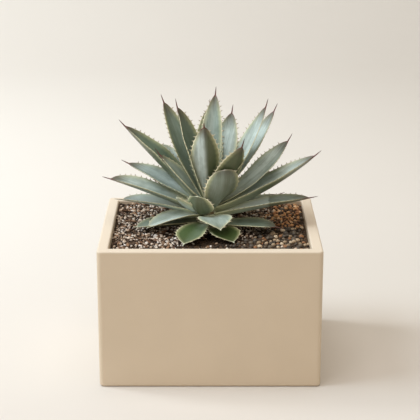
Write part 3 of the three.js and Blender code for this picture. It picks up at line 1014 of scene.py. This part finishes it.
def inside_bed(x, y):
    """1 on the open mix, 0 against the pot's walls and under the stem."""
    wall_gap = 2.2 * MM
    stem_gap = 14 * MM
    inside_x = above(POT_WIDTH / 2 - POT_WALL - wall_gap - absolute(x), 0)
    inside_y = above(POT_DEPTH / 2 - POT_WALL - wall_gap - absolute(y), 0)
    out_x = x - PLANT_X
    out_y = y - PLANT_Y
    outside_stem = above(out_x * out_x + out_y * out_y, stem_gap * stem_gap)
    return inside_x * inside_y * outside_stem


def grit_side(make, x, y):
    """0 on the dark mix and 1 on the grit, which lies right of a slanting line."""
    edge = 20 * MM
    slant = 0.67
    wander = (make.noise(make.vector(x, y, 0), 45.0, 2.0) - 0.5) * (30 * MM)
    behind = smaller(y + 52 * MM, 64 * MM)
    return make.smooth_step(x - behind * slant + wander, edge, edge + 14 * MM)


def orange_side(make, x, y):
    """1 on the patch of orange grit at the right rear."""
    wander = (make.noise(make.vector(x, y, 3), 50.0, 2.0) - 0.5) * (30 * MM)
    return make.smooth_step(y + wander, 4 * MM, 16 * MM)


def front_centre(make, x, y):
    """1 on the bare dark mix in front of the plant."""
    out_x = (x - 2 * MM) / (30 * MM)
    out_y = (y + 42 * MM) / (26 * MM)
    return 1 - make.smooth_step(out_x * out_x + out_y * out_y, 0.5, 1.6)


def everywhere(make, x, y):
    """The same all over the bed."""
    return 1


def on_dark_mix(make, x, y):
    """In clumps on the left and behind, and hardly any in front of the plant."""
    clumps = make.smooth_step(make.noise(make.vector(x, y, 1), 65.0, 3.0), 0.4, 0.56)
    behind = make.smooth_step(y, -10 * MM, 40 * MM)
    share = 0.14 + behind * 0.4 + clumps * (0.86 - behind * 0.4)
    return (1 - grit_side(make, x, y)) * share * (1 - front_centre(make, x, y) * 0.95)


def on_grit(make, x, y):
    """All over the grit, and thinner among the orange grains."""
    return grit_side(make, x, y) * (1 - orange_side(make, x, y) * 0.75)


def on_orange(make, x, y):
    """On the orange patch alone."""
    return grit_side(make, x, y) * orange_side(make, x, y)


def on_front_row(make, x, y):
    """Along the front rim, mostly on the right."""
    at_front = 1 - make.smooth_step(y, -80 * MM, -60 * MM)
    return at_front * (0.25 + make.smooth_step(x, 15 * MM, 45 * MM) * 0.75)


def shades(*levels):
    """Colours given as a screen shows them."""
    return [from_screen(*colour) for colour in levels]


def grain_finishes(colours):
    """The finish of each kind of grain, by the kind's name."""
    crumbs = [shaded(colours.peat, share) for share in (0.25, 0.4, 0.65, 1.2)]
    perlite = [
        tuple(colours.perlite),
        *shades((214, 196, 178), (238, 232, 226), (184, 158, 134), (228, 212, 196)),
        *shades((140, 114, 92), (236, 226, 214), (204, 184, 164)),
    ]
    bark = shades((116, 84, 60), (84, 60, 46), (146, 112, 84))
    pebbles = [
        *shades((150, 128, 100), (74, 62, 50), (208, 188, 160), (58, 48, 38)),
        *shades((150, 104, 66), (104, 92, 76), (178, 156, 128), (84, 76, 66)),
    ]
    orange = [
        tuple(colours.grit),
        *shades((168, 116, 74), (228, 188, 146), (104, 74, 50), (190, 142, 96)),
    ]
    pink = shades((222, 196, 172), (196, 164, 136), (232, 216, 198))
    return {
        "mix_crumbs": grain_finish("Mix crumb", crumbs, 0.9, 0.5 * MM),
        "mix_perlite": grain_finish("Perlite", perlite, 0.85, 0.3 * MM),
        "mix_bark": grain_finish("Bark", bark, 0.8, 0.5 * MM),
        "mix_pebbles": grain_finish("Pebble", pebbles, 0.6, 0.15 * MM),
        "mix_orange_grit": grain_finish("Orange grit", orange, 0.75, 0.25 * MM),
        "mix_front_grains": grain_finish("Pink grain", pink, 0.75, 0.2 * MM),
    }


def grain_kind(where, smooth, size, density, gap, seed, **shape):
    """One kind of grain: where it lies, whether it is smooth, and its values for the scatter tree."""
    values = {"Size": size, "Density": density, "Least distance": gap * MM, "Seed": seed}
    for name, value in shape.items():
        values[name.replace("_", " ").capitalize()] = value
    return where, smooth, values


def grain_kinds(sizes):
    """Every kind of grain in the mix, by the name of its piece. Densities are grains a square metre."""
    return {
        "mix_crumbs": grain_kind(everywhere, False, sizes.crumb, 120000.0, 1.9, 11, fineness=1),
        "mix_perlite": grain_kind(
            on_dark_mix, False, sizes.perlite, 190000.0, 2.3, 23,
            least_share=0.35, most_share=1.35, flatness=0.8, roughening=0.38, lift=0.3, fineness=1,
        ),
        "mix_bark": grain_kind(
            on_dark_mix, False, sizes.bark, 24000.0, 4.4, 31,
            flatness=0.4, length_share=2.0, lift=0.35,
        ),
        "mix_pebbles": grain_kind(
            on_grit, True, sizes.pebble, 90000.0, 3.8, 47,
            least_share=0.4, most_share=1.5, flatness=0.75, roughening=0.2, lift=0.25,
        ),
        "mix_orange_grit": grain_kind(
            on_orange, False, sizes.grit, 110000.0, 2.8, 53,
            least_share=0.5, most_share=1.35, lift=0.3,
        ),
        "mix_front_grains": grain_kind(
            on_front_row, True, sizes.front_grain, 60000.0, 3.2, 61,
            most_share=1.15, roughening=0.15, lift=0.45,
        ),
    }


# Pot


def rounded_rectangle(width, depth, radius, z):
    """Points round a rectangle with round corners."""
    corner_steps = 10
    points = []
    for side_x, side_y, start in ((1, 1, 0), (-1, 1, 90), (-1, -1, 180), (1, -1, 270)):
        for i in range(corner_steps + 1):
            angle = math.radians(start + 90 * i / corner_steps)
            x = side_x * (width / 2 - radius) + radius * math.cos(angle)
            y = side_y * (depth / 2 - radius) + radius * math.sin(angle)
            points.append((x, y, z))
    return points


def pot_rings():
    """The pot's rings from the foot over the rim and down to its inner floor."""
    rings = []
    quarter_turn = [math.radians(15 * i) for i in range(7)]

    def add_ring(inset, z):
        radius = max(POT_SIDE_ROUND - inset, POT_INNER_ROUND)
        rings.append(rounded_rectangle(POT_WIDTH - 2 * inset, POT_DEPTH - 2 * inset, radius, z))

    for turn in quarter_turn:
        add_ring(POT_FOOT_ROUND * (1 - math.sin(turn)), POT_FOOT_ROUND * (1 - math.cos(turn)))
    for turn in quarter_turn:
        add_ring(POT_RIM_ROUND * (1 - math.cos(turn)), POT_HEIGHT - POT_RIM_ROUND * (1 - math.sin(turn)))
    for turn in reversed(quarter_turn):
        inset = POT_WALL - POT_RIM_ROUND * (1 - math.cos(turn))
        add_ring(inset, POT_HEIGHT - POT_RIM_ROUND * (1 - math.sin(turn)))
    add_ring(POT_WALL, POT_FLOOR)
    return rings


def pot_mesh():
    """The pot as one closed skin over its rings."""
    rings = pot_rings()
    count = len(rings[0])
    points = [point for ring in rings for point in ring]
    faces = [tuple(reversed(range(count)))]
    for ring in range(len(rings) - 1):
        for i in range(count):
            a = ring * count + i
            b = ring * count + (i + 1) % count
            faces.append((a, b, b + count, a + count))
    last = (len(rings) - 1) * count
    faces.append(tuple(last + i for i in range(count)))
    mesh = bpy.data.meshes.new("pot")
    mesh.from_pydata(points, [], faces)
    mesh.shade_smooth()
    return mesh


# Operators


class AGAVE_OT_stage(bpy.types.Operator):
    """Set up the camera, the pale floor with its backdrop, and the studio light"""

    bl_idname = "agave.stage"
    bl_label = "Studio"

    def execute(self, context):
        make_camera()
        make_floor(context.scene.agave_colours)
        make_lights()
        return {"FINISHED"}


class AGAVE_OT_pot(bpy.types.Operator):
    """Make the pot with fine round edges and its matt cream finish"""

    bl_idname = "agave.pot"
    bl_label = "Pot"

    def execute(self, context):
        piece = bpy.data.objects.new("pot_body", pot_mesh())
        context.collection.objects.link(piece)
        piece.data.materials.append(pot_finish(context.scene.agave_colours))
        weighting = piece.modifiers.new("Even faces", "WEIGHTED_NORMAL")
        weighting.keep_sharp = True
        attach(piece, "root")
        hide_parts("pot")
        return {"FINISHED"}


class AGAVE_OT_mix(bpy.types.Operator):
    """Finish the bed of potting mix and strew its grains"""

    bl_idname = "agave.mix"
    bl_label = "Potting mix"

    def execute(self, context):
        colours = context.scene.agave_colours
        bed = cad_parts["soil"]
        set_finish(bed, peat_finish(colours))
        finishes = grain_finishes(colours)
        for name, (where, smooth, values) in grain_kinds(context.scene.agave_sizes).items():
            tree = scatter_tree(name, where, smooth)
            piece = grown_piece(name, tree, {**values, "Bed": bed, "Finish": finishes[name]})
            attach(piece, "root")
        return {"FINISHED"}


class AGAVE_OT_stem(bpy.types.Operator):
    """Finish the short stem"""

    bl_idname = "agave.stem"
    bl_label = "Stem"

    def execute(self, context):
        set_finish(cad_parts["stem"], stem_finish(context.scene.agave_colours))
        return {"FINISHED"}


class AGAVE_OT_leaves(bpy.types.Operator):
    """Grow every leaf of the rosette with its teeth and its spine"""

    bl_idname = "agave.leaves"
    bl_label = "Leaves"

    def execute(self, context):
        colours = context.scene.agave_colours
        finishes = {
            "leaf": leaf_finish(colours, context.scene.agave_sizes.margin_width),
            "tooth": tooth_finish(colours),
        }
        tree = leaf_tree()
        number = 0
        for ring, leaves in ROSETTE.items():
            for place, own_values in enumerate(leaves, 1):
                number += 1
                node = f"leaf_{ring}_{place:02d}"
                values = {**USUAL_LEAF, **LOOK_OF_RING[ring], **own_values}
                piece = grown_piece(f"{node}_blade", tree, leaf_values(values, number, finishes))
                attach(piece, "root")
                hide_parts(node)
        return {"FINISHED"}


def set_finish(piece, finish):
    """Gives a piece of the frame one finish."""
    for slot in piece.material_slots:
        slot.material = finish
    if not piece.material_slots:
        piece.data.materials.append(finish)


# Studio


def make_camera():
    """The camera at the height, slope and distance of the photograph."""
    focal_length = 116.2
    distance = 1.45
    height = 0.6205
    slope = 17.25
    camera = bpy.data.objects.new("camera", bpy.data.cameras.new("camera"))
    camera.data.lens = focal_length
    camera.data.sensor_width = 36.0
    camera.location = (0.0, -distance, height)
    camera.rotation_euler = (math.radians(90 - slope), 0.0, 0.0)
    bpy.context.collection.objects.link(camera)
    bpy.context.scene.camera = camera


def make_floor(colours):
    """A pale floor that curves up into a backdrop, like a sheet of studio paper."""
    half_width = 6.0
    front = -5.0
    curve_start = 1.6
    curve_radius = 1.4
    curve_steps = 24
    height = 5.0
    profile = [(front, 0.0), (curve_start, 0.0)]
    for i in range(1, curve_steps + 1):
        angle = math.pi / 2 * i / curve_steps
        y = curve_start + curve_radius * math.sin(angle)
        profile.append((y, curve_radius * (1 - math.cos(angle))))
    profile.append((curve_start + curve_radius, height))
    points = [(side * half_width, y, z) for y, z in profile for side in (-1, 1)]
    faces = [(2 * i, 2 * i + 1, 2 * i + 3, 2 * i + 2) for i in range(len(profile) - 1)]
    mesh = bpy.data.meshes.new("floor")
    mesh.from_pydata(points, [], faces)
    mesh.shade_smooth()
    floor = bpy.data.objects.new("floor", mesh)
    bpy.context.collection.objects.link(floor)
    finish, make, shader = new_finish("Studio paper", 0.9)
    clouds = patches(make, object_place(make), 3.0, 0.2, 0.8)
    colour = make.blend(clouds * 0.3, colours.floor, shaded(colours.floor, 0.96))
    make.feed(shader.inputs["Base Color"], colour)
    floor.data.materials.append(finish)


def add_light(name, place, aim, size, power, colour):
    """A soft square lamp that points at a place."""
    lamp = bpy.data.objects.new(name, bpy.data.lights.new(name, "AREA"))
    lamp.data.shape = "SQUARE"
    lamp.data.size = size
    lamp.data.energy = power
    lamp.data.color = colour
    lamp.location = place
    lamp.rotation_euler = (Vector(aim) - Vector(place)).to_track_quat("-Z", "Y").to_euler()
    bpy.context.collection.objects.link(lamp)


def make_lights():
    """A cool soft key from the left, and warm light from above, all round and on the backdrop."""
    add_light("key", (-1.3, -0.26, 1.71), (0, 0, 0.15), 0.9, 19.5, (0.78, 0.9, 1.0))
    add_light("overhead", (0.0, -0.2, 2.4), (0, 0, 0), 1.6, 20.0, (1.0, 0.93, 0.86))
    add_light("fill", (-0.9, -1.3, 1.2), (0, 0, 0.2), 0.8, 3.5, (1.0, 0.92, 0.96))
    add_light("backdrop", (-1.6, 0.5, 1.6), (-0.6, 3.0, 0.6), 1.2, 47.0, (0.89, 0.96, 1.0))
    world = bpy.data.worlds.new("studio")
    world.use_nodes = True
    background = world.node_tree.nodes["Background"]
    background.inputs["Color"].default_value = (1.0, 0.88, 0.71, 1.0)
    background.inputs["Strength"].default_value = 0.46
    bpy.context.scene.world = world
    bpy.context.scene.view_settings.view_transform = "Standard"


# Panel and registration


class AGAVE_PT_panel(bpy.types.Panel):
    """Lists the steps, the sizes and the colours"""

    bl_idname = "AGAVE_PT_panel"
    bl_label = "Potted agave"
    bl_space_type = "VIEW_3D"
    bl_region_type = "UI"
    bl_category = "Agave"

    def draw(self, context):
        for step in STEPS:
            self.layout.operator(step.bl_idname)
        for group in (context.scene.agave_sizes, context.scene.agave_colours):
            box = self.layout.box()
            for name in group.__annotations__:
                box.prop(group, name)


STEPS = (AGAVE_OT_stage, AGAVE_OT_pot, AGAVE_OT_mix, AGAVE_OT_stem, AGAVE_OT_leaves)
CLASSES = (AgaveSizes, AgaveColours, *STEPS, AGAVE_PT_panel)


def register():
    for cls in CLASSES:
        bpy.utils.register_class(cls)
    bpy.types.Scene.agave_sizes = bpy.props.PointerProperty(type=AgaveSizes)
    bpy.types.Scene.agave_colours = bpy.props.PointerProperty(type=AgaveColours)


def unregister():
    del bpy.types.Scene.agave_colours
    del bpy.types.Scene.agave_sizes
    for cls in reversed(CLASSES):
        bpy.utils.unregister_class(cls)


def main():
    register()
    bpy.ops.agave.stage()
    bpy.ops.agave.pot()
    bpy.ops.agave.mix()
    bpy.ops.agave.stem()
    bpy.ops.agave.leaves()


if __name__ == "__main__":
    main()
